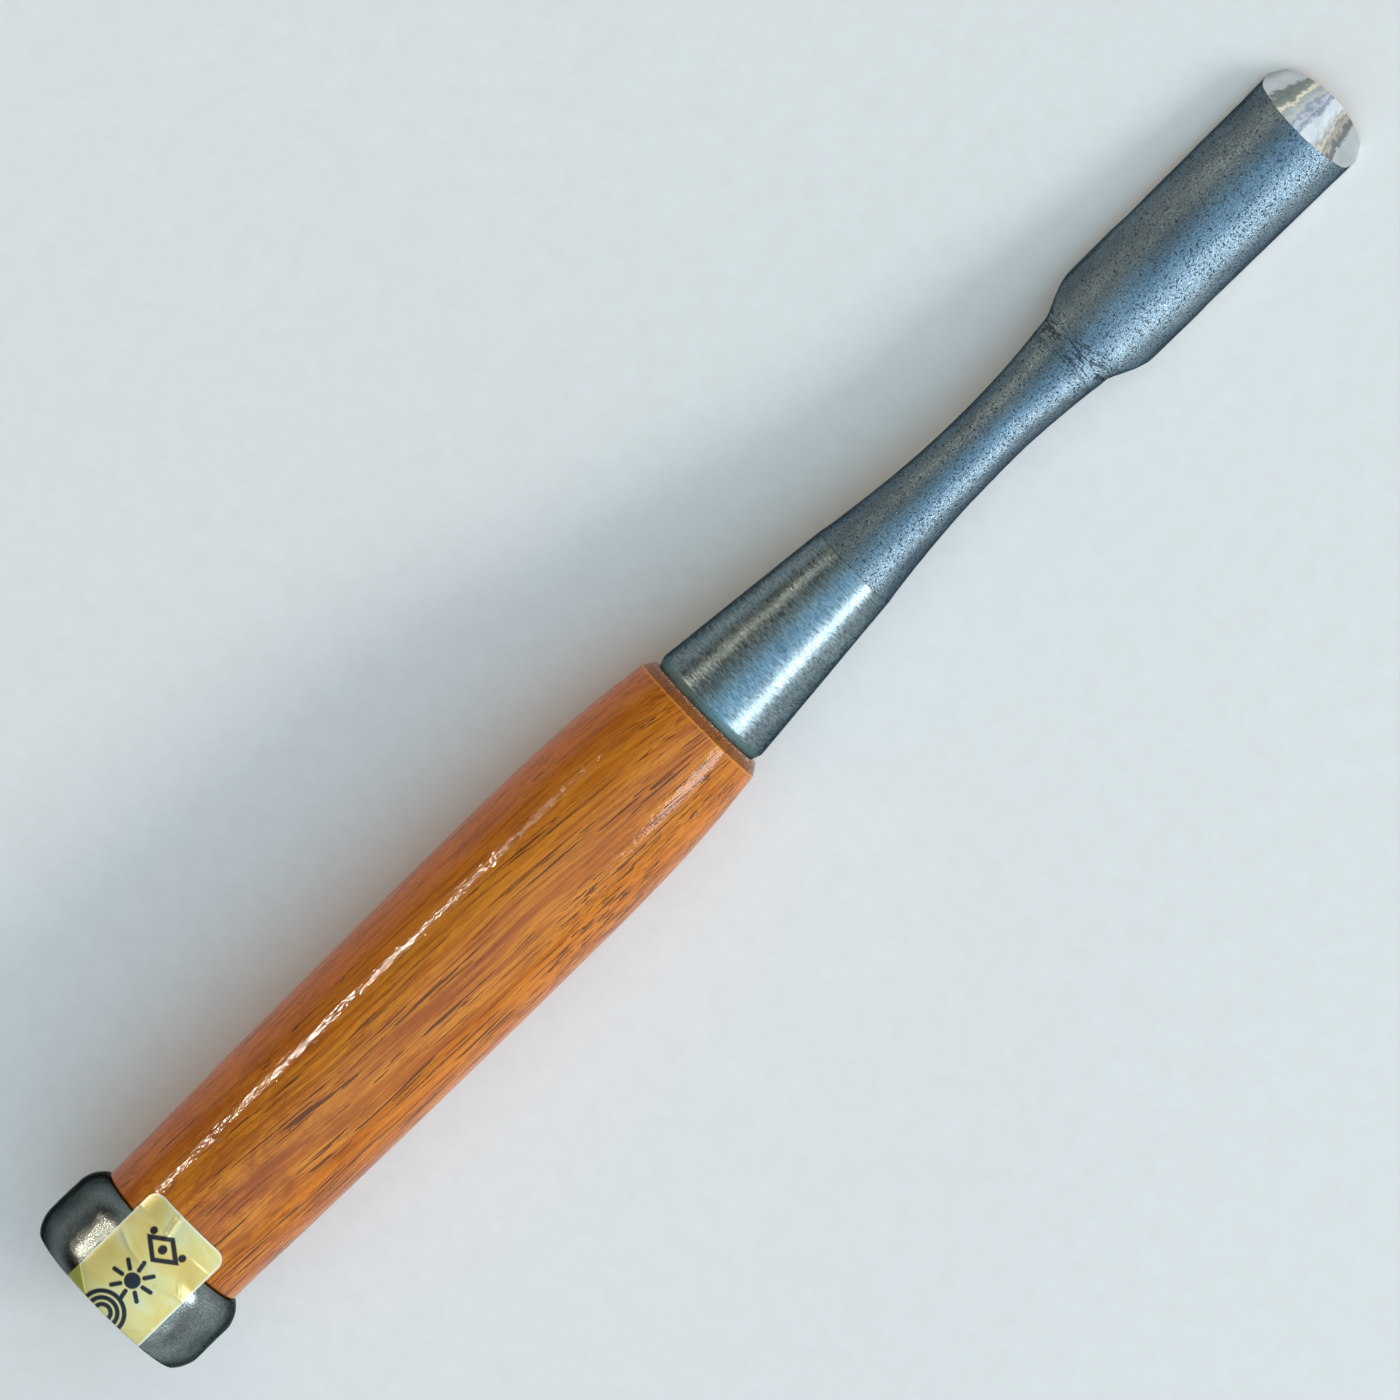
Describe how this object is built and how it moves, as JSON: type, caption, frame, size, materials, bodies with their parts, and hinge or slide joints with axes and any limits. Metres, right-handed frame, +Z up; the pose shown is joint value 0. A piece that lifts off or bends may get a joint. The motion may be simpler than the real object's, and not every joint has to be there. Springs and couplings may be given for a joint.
{
  "type": "round-backed mortise chisel",
  "caption": "Striking chisel with a round-backed steel blade bevelled on the outside, forged neck, steel ferrule, turned wooden handle and steel striking hoop.",
  "frame": {"origin": "on the surface the tool lies on, under the middle of its bounding box", "axes": "+X towards the cutting edge along the tool's length, +Z up out of the blade's rounded back, +Y to the left when looking along +X. The tool axis dips 3.81 degrees below +X, because the tool lies on the handle's belly and on the blade's two corners."},
  "size_m": [0.2252, 0.0276, 0.0317],
  "materials": {
    "forged_steel": "satin",
    "hard_steel": "polished",
    "ferrule_steel": "satin",
    "handle_wood": "gloss",
    "hoop_steel": "satin",
    "label_foil": "gloss"
  },
  "bodies": {
    "root": {"blade_body": "forged_steel", "cutting_steel": "hard_steel", "ferrule": "ferrule_steel", "handle": "handle_wood", "hoop": "hoop_steel", "label": "label_foil"}
  },
  "joints": []
}
